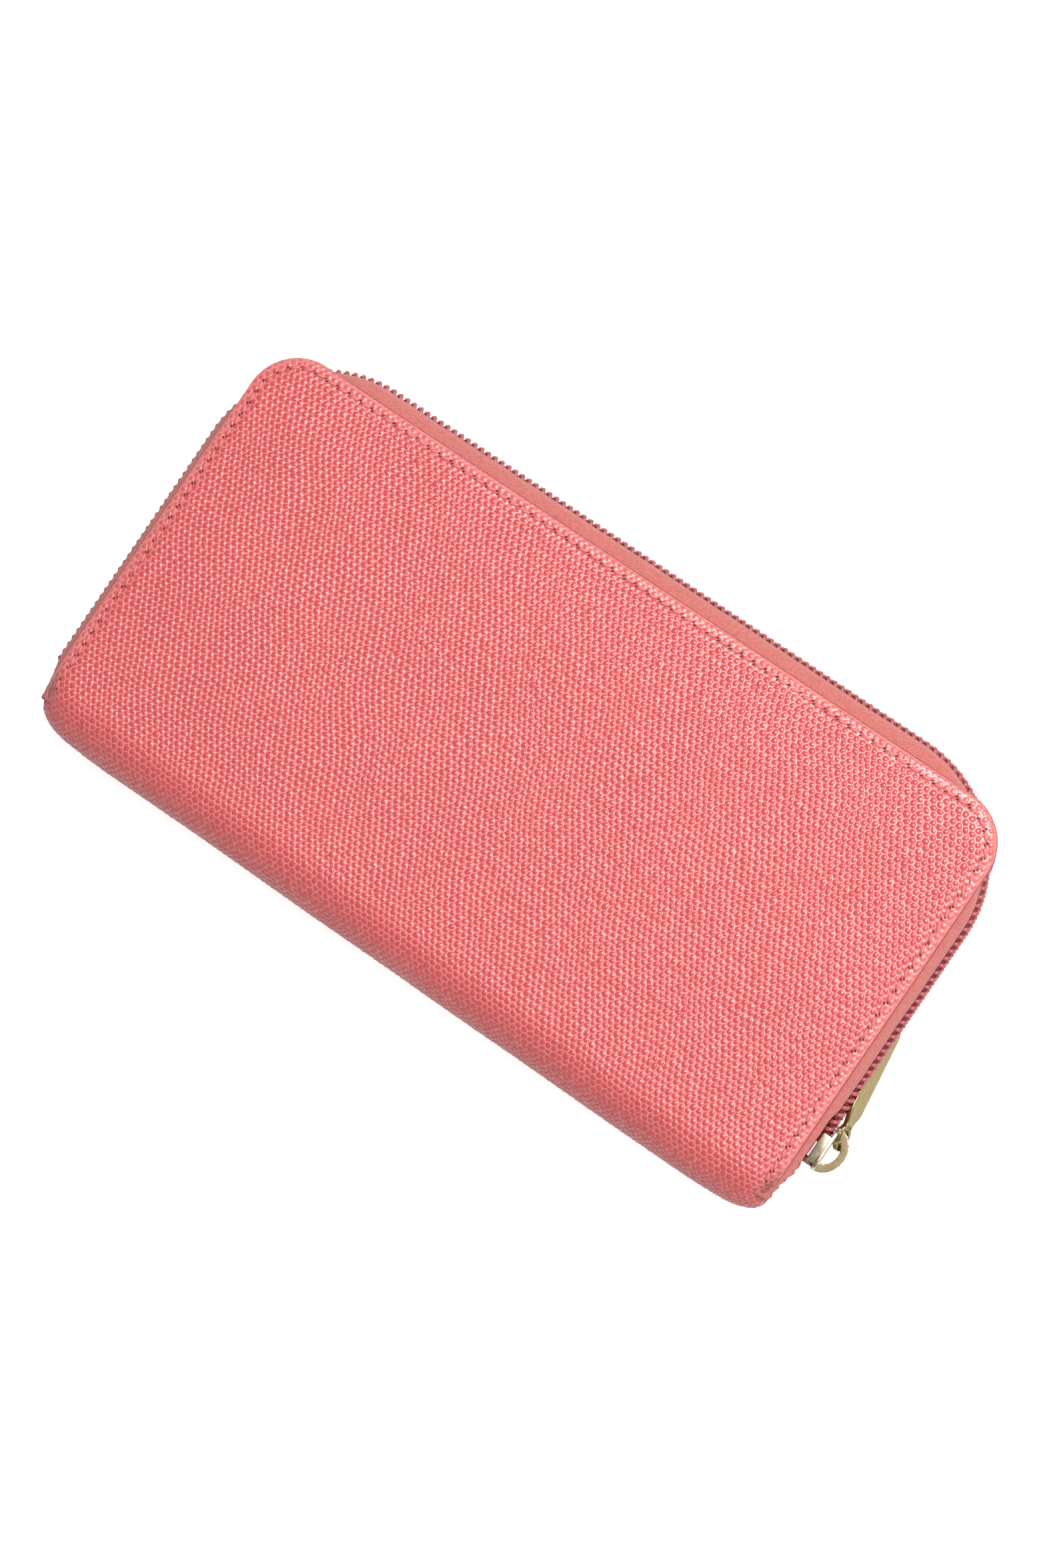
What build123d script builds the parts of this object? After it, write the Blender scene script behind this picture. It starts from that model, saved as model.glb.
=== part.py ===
"""Long zip-around wallet, built as its separate pieces.

Frame: +X along the spine, +Y from the spine to the zip's long side, +Z up through the thickness.
The origin is on the resting face, under the middle of the wallet. All sizes are in millimetres.
The back half lies on the table, a centre leaf with the coin pocket stands on the spine, and the
front half closes over it. The three turn about one axis, the middle of the rounded spine.
"""
import os
from math import cos, radians, sin

from build123d import *

# ---- overall sizes -------------------------------------------------------------------------
length = 195.0  # along the spine
width = 102.0  # spine to the leather's zip edge
corner_radius = 15.0  # the covers' two corners on the zip side

# ---- sheet thicknesses, from the outside in ------------------------------------------------
leather = 1.3
board = 0.8  # stiffening board, and the zip tape's hem beside it
lining = 0.6
card_sheet = 0.4

# ---- clearances ----------------------------------------------------------------------------
play = 0.3  # between pieces of different bodies
slide_play = 0.25  # slider to chain

# ---- main zip ------------------------------------------------------------------------------
tape = 0.6
tape_hem = 9.0  # how far the tape is sewn in behind the leather's edge
chain_bulge_side = 1.5  # chain stands outside the leather on the short sides
chain_bulge_long = 2.8  # and on the long side
chain_radius = 28.0
coil_width = 2.0  # one coil half, along the wallet's thickness
coil_height = 2.2  # coil half, outwards from its tape
chain_slot = 1.0  # between the two coil halves
tape_under_coil = 1.6
zip_end = 3.5  # chain's ends, from the spine axis
slider_from_spine = 22.0  # slider's middle, closed, from the spine's outside
slider_length = 11.0
slider_top = 7.0  # width of the slider at the closed chain
slider_mouth = 9.0  # and at its mouth
slider_plate = 1.0
coin_slider_scale = 0.55  # coin zip's slider to the main one

# ---- inside --------------------------------------------------------------------------------
lining_inset = 1.0
bill_gap = 2.1  # between the card pockets and the centre leaf, for bank notes
card_end_gap = 9.5  # from the leather's end to the card panel
card_top_gap = 3.0  # from the leather's zip edge
card_foot = 8.0  # foot of the card pockets, from the spine axis
card_pockets = 4
card_step = 12.0
first_pocket_drop = 8.0  # top pocket's edge, below the panel's top
card_margin = 3.0  # the card panel stays this far inside the zip's wall

# ---- centre leaf (coin pocket) -------------------------------------------------------------
leaf_end_gap = 11.5  # from the leather's end
leaf_top_gap = 19.0  # from the leather's zip edge
leaf_foot = 8.0
leaf_wall = 0.9
leaf_ease = 0.325  # beside the coin zip's slider, inside the tapes
leaf_band = 1.2
coin_tape = 0.5
coin_coil_width = 1.5
coin_coil_height = 1.4
coin_chain_slot = 0.8
coin_tape_hem = 6.0
coin_zip_margin = 4.0  # from the leaf's end to the chain's end
leaf_corner = 5.0

# ---- gussets -------------------------------------------------------------------------------
gusset_sheet = 0.4
gusset_end_gap = 6.5  # from the leather's end to where a gusset is sewn to the lining
gusset_fold = 16.0  # depth of its pleat
gusset_start = 5.0  # from the spine axis
gusset_top_gap = 18.0  # from the leather's zip edge

# ---- worked out ----------------------------------------------------------------------------
z_board = leather
z_lining = z_board + board
z_cards = z_lining + lining
z_pockets = z_cards + card_sheet
z_pocket_top = z_pockets + card_pockets * card_sheet
leaf_low = z_pocket_top + bill_gap
leaf_inner = coin_slider_scale * slider_mouth + 2 * (leaf_ease + coin_tape)
leaf_thickness = leaf_inner + 2 * leaf_wall
thickness = 2 * leaf_low + leaf_thickness  # closed, over both covers

middle = thickness / 2
spine_radius = thickness / 2
spine_y = -width / 2 + spine_radius  # the axis that the halves turn about
zip_y = width / 2
half_length = length / 2
middle_plane = Plane.XY.offset(middle)

interior_half_length = half_length - card_end_gap
card_base_height = zip_y - card_top_gap - spine_y - card_foot
first_pocket_height = card_base_height - first_pocket_drop
leaf_half_length = half_length - leaf_end_gap
leaf_top_y = zip_y - leaf_top_gap
gusset_edge = half_length - gusset_end_gap
gusset_height = zip_y - gusset_top_gap - spine_y - gusset_start

chain_x = half_length + chain_bulge_side  # outer face of the tape's wall
chain_y = zip_y + chain_bulge_long
coil_outer = middle - chain_slot / 2 - coil_width  # lower edge of the back coil half
tape_edge = coil_outer + tape_under_coil
slider_y = -width / 2 + slider_from_spine

os.makedirs("parts", exist_ok=True)
made = []


def write(piece, name):
    """Labels a finished piece and writes it as one node."""
    piece.part.label = name
    export_step(piece.part, f"parts/{name}.step")
    made.append(name)


def panel_outline(inset, foot=0.0):
    """Cover outline in the current sketch: square at the spine axis, rounded on the zip side."""
    low, high = spine_y + foot, zip_y - inset
    half = half_length - inset
    radius = corner_radius - inset
    with BuildLine() as outline:
        Polyline((-half, high - radius), (-half, low), (half, low), (half, high - radius))
        RadiusArc((half, high - radius), (half - radius, high), -radius)
        Line((half - radius, high), (-half + radius, high))
        RadiusArc((-half + radius, high), (-half, high - radius), -radius)
    make_face(outline.edges())


def chain_outline(inset, mode=Mode.ADD):
    """Plan of the zip's wall: it stands outside the straight sides and cuts the corners."""
    half, high = chain_x - inset, chain_y - inset
    radius = chain_radius - inset
    low = spine_y - 2 * spine_radius
    with BuildLine() as outline:
        Polyline((-half, high - radius), (-half, low), (half, low), (half, high - radius))
        RadiusArc((half, high - radius), (half - radius, high), -radius)
        Line((half - radius, high), (-half + radius, high))
        RadiusArc((-half + radius, high), (-half, high - radius), -radius)
    make_face(outline.edges(), mode=mode)


def above_spine(foot, mode=Mode.INTERSECT):
    """Keeps the part of the current sketch that lies beyond foot from the spine axis."""
    reach = width + 2 * chain_bulge_long
    with Locations((0, spine_y + foot + reach / 2)):
        Rectangle(2 * chain_x + 2, reach, mode=mode)


def both_halves(make, name):
    """Writes a piece of the back half, and its mirror image as the front half's."""
    back = make()
    write(back, f"back_{name}")
    with BuildPart() as front:
        add(back.part)
        mirror(about=middle_plane, mode=Mode.REPLACE)
    write(front, f"front_{name}")


# ---- covers --------------------------------------------------------------------------------
def make_cover():
    """The outer leather, as far as the line where it starts to curve round the spine."""
    with BuildPart() as piece:
        with BuildSketch():
            panel_outline(0)
        extrude(amount=leather)
        outer = piece.faces().sort_by(Axis.Z)[0].edges().filter_by(Axis.Y, reverse=True)
        rim = outer.sort_by(Axis.Y)[1:]
        fillet(rim, leather / 3)
    return piece


def make_board():
    """Stiffening board, held inside the ring of the zip tape's hem."""
    with BuildPart() as piece:
        with BuildSketch(Plane.XY.offset(z_board)):
            panel_outline(tape_hem + play, foot=play)
        extrude(amount=board)
    return piece


def make_lining():
    """Lining sewn round the cover's edge over the board and the tape's hem."""
    with BuildPart() as piece:
        with BuildSketch(Plane.XY.offset(z_lining)):
            panel_outline(lining_inset)
            chain_outline(tape + play, mode=Mode.INTERSECT)
        extrude(amount=lining)
    return piece


both_halves(make_cover, "cover")
both_halves(make_board, "board")
both_halves(make_lining, "lining")


# ---- main zip ------------------------------------------------------------------------------
def make_tape():
    """Zip tape: a hem sewn in between leather and lining, then a wall up to the coil."""
    with BuildPart() as piece:
        with BuildSketch(Plane.XY.offset(z_board)):
            chain_outline(0)
            panel_outline(lining_inset)
            panel_hole(tape_hem)
            above_spine(0)
        extrude(amount=board)
        with BuildSketch(Plane.XY.offset(z_board)):
            chain_outline(0)
            chain_outline(tape, mode=Mode.SUBTRACT)
            above_spine(zip_end)
        extrude(amount=tape_edge - z_board)
    return piece


def panel_hole(inset):
    """Takes the board's place out of the tape's hem."""
    with BuildSketch(mode=Mode.PRIVATE) as inner:
        panel_outline(inset, foot=-1)
    add(inner.sketch, mode=Mode.SUBTRACT)


def make_coil():
    """One coil half: a nylon spiral sewn along the tape's edge, drawn as its outer shape."""
    with BuildPart() as piece:
        with BuildSketch(Plane.XY.offset(coil_outer)):
            chain_outline(-coil_height)
            chain_outline(0, mode=Mode.SUBTRACT)
            above_spine(zip_end)
            with Locations((chain_x, slider_y - width / 2)):
                Rectangle(4 * coil_height, width - 2.0, mode=Mode.SUBTRACT)
        extrude(amount=coil_width)
    return piece


both_halves(make_tape, "zip_tape")
both_halves(make_coil, "zip_coil")


# ---- sliders and pullers -------------------------------------------------------------------
class ZipSize:
    """Sizes of one slider, measured in its own frame: x along the closed chain, z outwards."""

    def __init__(self, plane, scale, tape_depth, coil_depth, chain_width):
        self.plane = plane
        self.length = slider_length * scale
        self.top = slider_top * scale
        self.mouth = slider_mouth * scale
        self.plate = slider_plate * scale
        self.floor = -tape_depth - slide_play  # inner plate's face, under the tape
        self.roof = coil_depth + slide_play  # outer plate's face, over the coil
        self.chain = chain_width / 2 + slide_play
        self.crown_long = 5.5 * scale
        self.crown_high = 4.6 * scale
        self.crown_bar = 1.7 * scale
        self.crown_half = 0.9 * scale
        self.pivot_x = 1.2 * scale
        self.pivot_z = self.roof + self.plate + 1.3 * scale
        self.wire = 0.6 * scale
        self.eye_long = 4.9 * scale
        self.eye_half = 1.5 * scale
        self.eye_wire = 1.2 * scale


def plate_outline(z):
    """Slider plate: wide and round at the mouth, narrower at the closed chain."""
    mouth, top, half = z.mouth / 2, z.top / 2, z.length / 2
    with BuildLine() as outline:
        Polyline(
            (half, -top), (half, top), (0, mouth), (-half, mouth), (-half, -mouth), (0, -mouth),
            close=True,
        )
    make_face(outline.edges())
    fillet(vertices(), z.mouth / 6)


def make_slider(z, post):
    """Two plates joined by the post in the mouth, side flanges round the coil, and the crown."""
    with BuildPart() as piece:
        for level, up in ((z.roof, 1), (z.floor, -1)):
            with BuildSketch(z.plane.offset(level)):
                plate_outline(z)
            extrude(amount=up * z.plate)
        with BuildSketch(z.plane.offset(z.floor)):
            with Locations((-z.length / 2 + z.plate, 0)):
                Rectangle(1.6 * z.plate, post)
        extrude(amount=z.roof - z.floor)
        with BuildSketch(z.plane.offset(z.roof)):
            plate_outline(z)
            Rectangle(2 * z.length, 2 * z.chain, mode=Mode.SUBTRACT)
        extrude(amount=-(z.roof - 2 * slide_play))
        side = Plane(z.plane.origin, x_dir=z.plane.x_dir, z_dir=-z.plane.y_dir)
        seat = z.roof + z.plate / 2
        with BuildSketch(side.offset(-z.crown_half)):
            with Locations((0, seat)):
                Ellipse(z.crown_long, z.crown_high)
                Ellipse(z.crown_long - z.crown_bar, z.crown_high - z.crown_bar, mode=Mode.SUBTRACT)
            with Locations((0, seat - z.length)):
                Rectangle(2 * z.length, 2 * z.length, mode=Mode.SUBTRACT)
        extrude(amount=2 * z.crown_half)
    return piece


def make_puller(z, lean, droop, reach, tab_half, tab_thickness):
    """Pull tab with an eye round the crown. It leans in to the chain, and droops sideways."""
    pivot = z.plane.from_local_coords((z.pivot_x, 0, z.pivot_z))
    along = z.plane.x_dir * cos(radians(lean)) - z.plane.z_dir * sin(radians(lean))
    out = z.plane.z_dir * cos(radians(lean)) + z.plane.x_dir * sin(radians(lean))
    across = out.cross(along)
    sloped = along * cos(radians(droop)) - across * sin(radians(droop))
    frame = Plane(pivot, x_dir=sloped, z_dir=out)
    neck = z.eye_long + z.eye_wire
    shoulder = neck + 4 * tab_half * 0.6
    with BuildPart() as piece:
        with BuildSketch(frame.offset(-tab_thickness / 2)):
            with BuildLine():
                Polyline(
                    (neck, -z.eye_half), (shoulder, -tab_half), (reach, -tab_half), (reach, tab_half),
                    (shoulder, tab_half), (neck, z.eye_half), (z.eye_long, z.eye_half),
                    (z.eye_long, -z.eye_half), close=True,
                )
            make_face()
            fillet(vertices().group_by(Axis.X)[-1], tab_half * 0.45)
        extrude(amount=tab_thickness)
        with BuildSketch(frame.offset(-z.wire)):
            outer = z.eye_long + z.eye_wire + z.wire
            with Locations((outer / 2 - z.wire, 0)):
                RectangleRounded(outer, 2 * (z.eye_half + z.eye_wire), z.eye_wire * 1.2)
            hole = z.eye_long - z.wire
            with Locations((z.wire + hole / 2, 0)):
                Rectangle(hole, 2 * z.eye_half, mode=Mode.SUBTRACT)
        extrude(amount=2 * z.wire)
    return piece


main_zip = ZipSize(
    Plane((chain_x, slider_y, middle), x_dir=(0, 1, 0), z_dir=(1, 0, 0)),
    scale=1.0, tape_depth=tape, coil_depth=coil_height, chain_width=2 * coil_width + chain_slot,
)
write(make_slider(main_zip, post=chain_slot / 2), "zip_slider")
write(
    make_puller(main_zip, lean=3, droop=5, reach=30.0, tab_half=2.9, tab_thickness=1.2), "zip_puller"
)


# ---- card pockets --------------------------------------------------------------------------
def card_panel(level, height):
    """One flat leather sheet of the card panel, from its foot up to the given height."""
    with BuildPart() as piece:
        with BuildSketch(Plane.XY.offset(level)):
            with Locations((0, spine_y + card_foot + height / 2)):
                Rectangle(2 * interior_half_length, height)
            chain_outline(card_margin, mode=Mode.INTERSECT)
        extrude(amount=card_sheet)
    return piece


both_halves(lambda: card_panel(z_cards, card_base_height), "card_base")
for n in range(card_pockets):
    both_halves(
        lambda: card_panel(z_pockets + n * card_sheet, first_pocket_height - n * card_step),
        f"card_pocket_{n + 1}",
    )


# ---- spine ---------------------------------------------------------------------------------
def spine_arc(start, end, radius, sheet, half):
    """A strip of sheet curved about the spine axis, from angle start to end above straight down."""
    axis_plane = Plane((-half, spine_y, middle), x_dir=(0, 1, 0), z_dir=(1, 0, 0))
    inner = radius - sheet

    def at(r, angle):
        return (-r * sin(radians(angle)), -r * cos(radians(angle)))

    mid = (start + end) / 2
    with BuildPart() as piece:
        with BuildSketch(axis_plane):
            with BuildLine():
                ThreePointArc(at(radius, start), at(radius, mid), at(radius, end))
                Line(at(radius, end), at(inner, end))
                ThreePointArc(at(inner, end), at(inner, mid), at(inner, start))
                Line(at(inner, start), at(radius, start))
            make_face()
        extrude(amount=2 * half)
    return piece


strip = 20.0  # half the angle of the spine's stiff middle strip
write(spine_arc(90 - strip, 90 + strip, spine_radius, leather, half_length), "spine_cover")
write(spine_arc(1, 90 - strip - 1, spine_radius, leather, half_length), "spine_bend_back")
write(spine_arc(90 + strip + 1, 179, spine_radius, leather, half_length), "spine_bend_front")
write(
    spine_arc(90 - strip, 90 + strip, spine_radius - leather, lining, half_length - lining_inset),
    "spine_lining",
)

# ---- centre leaf ---------------------------------------------------------------------------
spine_inside = spine_y - spine_radius + leather + lining


def leaf_outline(inset, top, mode=Mode.ADD):
    """The leaf's plan in the current sketch, its two corners by the spine rounded."""
    half, low = leaf_half_length - inset, spine_y + leaf_foot + inset
    radius = leaf_corner - inset
    with BuildLine() as outline:
        Polyline((half, low + radius), (half, top), (-half, top), (-half, low + radius))
        RadiusArc((-half, low + radius), (-half + radius, low), -radius)
        Line((-half + radius, low), (half - radius, low))
        RadiusArc((half - radius, low), (half, low + radius), -radius)
    make_face(outline.edges(), mode=mode)


def make_leaf_wall(level):
    with BuildPart() as piece:
        with BuildSketch(Plane.XY.offset(level)):
            leaf_outline(0, leaf_top_y)
        extrude(amount=leaf_wall)
    return piece


write(make_leaf_wall(leaf_low), "coin_pocket_back_wall")
write(make_leaf_wall(middle + leaf_inner / 2), "coin_pocket_front_wall")

with BuildPart() as pocket_band:
    with BuildSketch(Plane.XY.offset(leaf_low + leaf_wall)):
        leaf_outline(0, leaf_top_y)
        leaf_outline(leaf_band, leaf_top_y + 1, mode=Mode.SUBTRACT)
    extrude(amount=leaf_inner)
write(pocket_band, "coin_pocket_band")

with BuildPart() as leaf_hem:
    hem_length = spine_y + leaf_foot - spine_inside - play / 10
    with BuildSketch(Plane.XY.offset(middle - lining / 2)):
        with Locations((0, spine_y + leaf_foot - hem_length / 2)):
            Rectangle(2 * (leaf_half_length - leaf_corner), hem_length)
    extrude(amount=lining)
write(leaf_hem, "leaf_hem")

# ---- coin pocket's zip ---------------------------------------------------------------------
coin_reach = leaf_half_length - coin_zip_margin
coin_slider_x = coin_reach - coin_slider_scale * slider_length / 2


def make_coin_tape():
    """Sewn flat inside the pocket's wall, then turned in over the mouth to carry the coil."""
    inner = leaf_low + leaf_wall
    with BuildPart() as piece:
        with BuildSketch(Plane.YZ.offset(-leaf_half_length + leaf_band)):
            with BuildLine():
                coil_edge = middle - coin_chain_slot / 2 - coin_coil_width / 4
                Polyline(
                    (leaf_top_y - coin_tape_hem, inner), (leaf_top_y, inner), (leaf_top_y, coil_edge),
                    (leaf_top_y - coin_tape, coil_edge), (leaf_top_y - coin_tape, inner + coin_tape),
                    (leaf_top_y - coin_tape_hem, inner + coin_tape), close=True,
                )
            make_face()
        extrude(amount=2 * (leaf_half_length - leaf_band))
    return piece


def make_coin_coil():
    with BuildPart() as piece:
        with BuildSketch(Plane.XZ.offset(-leaf_top_y)):
            with Locations((-coin_coil_width, middle - coin_chain_slot / 2 - coin_coil_width / 2)):
                Rectangle(2 * coin_reach - 4 * coin_coil_width, coin_coil_width)
        extrude(amount=-coin_coil_height)
    return piece


both_halves(make_coin_tape, "coin_zip_tape")
both_halves(make_coin_coil, "coin_zip_coil")

coin_zip = ZipSize(
    Plane((coin_slider_x, leaf_top_y, middle), x_dir=(-1, 0, 0), z_dir=(0, 1, 0)),
    scale=coin_slider_scale, tape_depth=coin_tape, coil_depth=coin_coil_height,
    chain_width=2 * coin_coil_width + coin_chain_slot,
)
write(make_slider(coin_zip, post=coin_chain_slot / 2), "coin_zip_slider")
write(
    make_puller(coin_zip, lean=0, droop=0, reach=13.0, tab_half=1.7, tab_thickness=0.7),
    "coin_zip_puller",
)


# ---- gussets -------------------------------------------------------------------------------
def make_gusset(side):
    """Pleated end wall: sewn to the lining outside the card panel, folded in once, up to the leaf."""
    reach = gusset_edge - gusset_fold
    low, flat = z_cards, z_pocket_top + 2 * play
    high = leaf_low
    fold = (flat + high) / 2
    t = gusset_sheet
    with BuildPart() as piece:
        with BuildSketch(Plane.XZ.offset(-(spine_y + gusset_start))):
            with BuildLine():
                Polyline(
                    (gusset_edge, low), (gusset_edge, flat + t), (reach + 2 * t, fold),
                    (leaf_half_length, high - t), (leaf_half_length, high),
                    (leaf_half_length - 2, high), (reach, fold), (gusset_edge - t, flat),
                    (gusset_edge - t, low), close=True,
                )
            make_face()
            if side < 0:
                mirror(about=Plane.YZ, mode=Mode.REPLACE)
        extrude(amount=-gusset_height)
    return piece


both_halves(lambda: make_gusset(-1), "gusset_left")
both_halves(lambda: make_gusset(1), "gusset_right")

print(len(made), "nodes")
print("spine axis y", spine_y, "z", middle)
for zip_size, name in ((main_zip, "zip puller pivot"), (coin_zip, "coin puller pivot")):
    print(name, zip_size.plane.from_local_coords((zip_size.pivot_x, 0, zip_size.pivot_z)))
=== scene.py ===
import math

import bmesh
import bpy
from mathutils import Matrix, Vector, noise


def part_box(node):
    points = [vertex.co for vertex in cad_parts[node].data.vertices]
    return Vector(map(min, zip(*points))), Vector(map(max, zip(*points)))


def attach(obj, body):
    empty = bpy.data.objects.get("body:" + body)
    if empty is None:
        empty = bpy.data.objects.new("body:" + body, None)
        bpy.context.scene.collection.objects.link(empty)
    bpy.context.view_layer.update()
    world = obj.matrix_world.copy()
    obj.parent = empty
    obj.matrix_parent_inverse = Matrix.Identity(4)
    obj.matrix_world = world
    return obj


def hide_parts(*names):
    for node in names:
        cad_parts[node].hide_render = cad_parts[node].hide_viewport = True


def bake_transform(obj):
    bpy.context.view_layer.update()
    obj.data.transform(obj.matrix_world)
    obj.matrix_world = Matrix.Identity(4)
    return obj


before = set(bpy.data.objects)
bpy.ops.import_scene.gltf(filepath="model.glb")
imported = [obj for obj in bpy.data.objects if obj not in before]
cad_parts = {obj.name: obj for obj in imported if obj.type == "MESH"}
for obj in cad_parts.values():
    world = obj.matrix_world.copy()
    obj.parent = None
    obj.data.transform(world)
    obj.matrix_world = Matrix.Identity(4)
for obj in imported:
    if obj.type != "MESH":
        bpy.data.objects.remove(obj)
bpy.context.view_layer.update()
MM = 0.001


def cad_box_mm(node):
    """Lowest and highest corner of a CAD node, in millimetres."""
    low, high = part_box(node)
    return low / MM, high / MM


# %% [markdown]
# ## Sizes
# The sizes come from the CAD nodes' boxes, so a piece made here lies where its node lies. The
# middle of the rounded spine is the axis that the halves turn about.
# %% Read the sizes
cover_low, cover_high = cad_box_mm("front_cover")
tape_high = cad_box_mm("front_zip_tape")[1]
HALF_LENGTH = cover_high.x
THICKNESS = cover_high.z
MIDDLE = THICKNESS / 2
SPINE_RADIUS = THICKNESS / 2
SPINE_Y = cover_low.y
ZIP_Y = cover_high.y
LEATHER = cover_high.z - cover_low.z
CORNER = 12.0
QUARTER = SPINE_RADIUS * math.pi / 2
EDGE_V = QUARTER + ZIP_Y - SPINE_Y
CHAIN_X = tape_high.x
CHAIN_Y = tape_high.y
CHAIN_CORNER = 28.0
SPINE_BACK = SPINE_Y - SPINE_RADIUS
slider_low, slider_high = cad_box_mm("zip_slider")
slider_y = (slider_low.y + slider_high.y) / 2
print("leather", HALF_LENGTH * 2, "x", ZIP_Y - SPINE_BACK, "x", THICKNESS, "mm")

# %% [markdown]
# ## Small helpers
# A colour is written as the hex value that a paint chart gives, and Blender wants it linear. One
# function adds a shader node with its settings and its links. One function turns a finished
# bmesh into a piece of the wallet: it scales it to metres, smooths it, hangs it from its CAD
# body or, when a bend is passed, leaves it unparented where it is, and hides the CAD nodes that
# it stands for.
# %% Colour, node and piece helpers


def colour(code):
    """An sRGB hex code as a linear colour."""
    channels = [int(code[i : i + 2], 16) / 255 for i in (1, 3, 5)]
    linear = [c / 12.92 if c <= 0.04045 else ((c + 0.055) / 1.055) ** 2.4 for c in channels]
    return (*linear, 1.0)


def add_node(tree, kind, settings=None, **links):
    """Adds a node. Settings are attributes or inputs by name; links are inputs fed by sockets."""
    node = tree.nodes.new(kind)
    for name, value in (settings or {}).items():
        if isinstance(name, str) and hasattr(node, name):
            setattr(node, name, value)
        else:
            node.inputs[name].default_value = value
    for name, socket in links.items():
        key = int(name[1:]) if name[0] == "_" else name.replace("_", " ")
        tree.links.new(socket, node.inputs[key])
    return node


def new_material(name):
    """An empty material: its tree, its shader and a coordinate in millimetres."""
    material = bpy.data.materials.new(name)
    material.use_nodes = True
    tree = material.node_tree
    shader = tree.nodes["Principled BSDF"]
    place = add_node(tree, "ShaderNodeTexCoord")
    size = {"operation": "SCALE", "Scale": 1 / MM}
    millimetres = add_node(tree, "ShaderNodeVectorMath", size, _0=place.outputs["Object"])
    return material, tree, shader, millimetres.outputs[0]


def join(bm, part):
    """Moves everything from one bmesh into another."""
    mesh = bpy.data.meshes.new("part")
    part.to_mesh(mesh)
    part.free()
    bm.from_mesh(mesh)
    bpy.data.meshes.remove(mesh)


def repeat(bm, step, count):
    """Copies a bmesh along a step until it stands count times. Each pass doubles what is there."""
    one = len(bm.verts)
    made = 1
    while made < count:
        more = min(made, count - made)
        verts = bm.verts[:][: more * one]
        edges = dict.fromkeys(edge for vert in verts for edge in vert.link_edges)
        faces = dict.fromkeys(face for vert in verts for face in vert.link_faces)
        copy = bmesh.ops.duplicate(bm, geom=verts + list(edges) + list(faces))["geom"]
        corners = [part for part in copy if isinstance(part, bmesh.types.BMVert)]
        bmesh.ops.translate(bm, verts=corners, vec=Vector(step) * made)
        made += more


def finish_piece(name, bm, materials, body, slot, replaces=(), blend=None):
    """Makes a bmesh in millimetres into a piece that moves with a CAD body, or that stays where it
    is when a bend is passed.
    """
    bmesh.ops.scale(bm, vec=(MM, MM, MM), verts=bm.verts)
    mesh = bpy.data.meshes.new(name)
    bm.to_mesh(mesh)
    bm.free()
    piece = bpy.data.objects.new(name, mesh)
    bpy.context.collection.objects.link(piece)
    for material in materials:
        mesh.materials.append(material)
    mesh.polygons.foreach_set("use_smooth", [True] * len(mesh.polygons))
    if blend:
        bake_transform(piece)
    else:
        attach(piece, body)
    if replaces:
        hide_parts(*replaces)
    print(name, len(mesh.polygons), "faces")
    return piece


# %% [markdown]
# ## Lines that everything follows
# The leather's edge, the stitching, the zip's tape and its coils all follow a U with two rounded
# corners, open towards the spine. So one function gives a point on such a U and the way that it
# heads, for a distance walked from its left foot.
# %% Walk along a rounded U


def on_outline(s, half, low, high, radius):
    """Point and heading at distance s along a U that starts at its left foot, heading +Y."""
    side = high - radius - low
    bend = radius * math.pi / 2
    across = 2 * (half - radius)
    if s <= side:
        return -half, low + s, math.pi / 2
    if s <= side + bend:
        turn = (s - side) / radius
        x = -half + radius - radius * math.cos(turn)
        return x, high - radius + radius * math.sin(turn), math.pi / 2 - turn
    if s <= side + bend + across:
        return -half + radius + s - side - bend, high, 0.0
    if s <= side + 2 * bend + across:
        turn = (s - side - bend - across) / radius
        x = half - radius + radius * math.sin(turn)
        return x, high - radius + radius * math.cos(turn), -turn
    return half, high - radius - (s - side - 2 * bend - across), -math.pi / 2


def outline_length(half, low, high, radius):
    return 2 * (high - radius - low) + math.pi * radius + 2 * (half - radius)


def on_chain(s, out, low):
    """Point on the zip's path, s along it from the left end, and out from the tape's face."""
    x, y, heading = on_outline(s, CHAIN_X, low, CHAIN_Y, CHAIN_CORNER)
    return x - out * math.sin(heading), y + out * math.cos(heading)


def smoothstep(low, high, value):
    t = min(max((value - low) / (high - low), 0.0), 1.0)
    return t * t * (3 - 2 * t)


# %% [markdown]
# ## Materials
# The outer leather is full-grain calf that was embossed with a round pebble and then coated in a
# coral pigment. Its colour is deeper on the pebbles' tops and paler in the valleys between them.
# The pebbles themselves are modelled, so the shader only adds the pores between them.
# %% Pebbled leather


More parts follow.
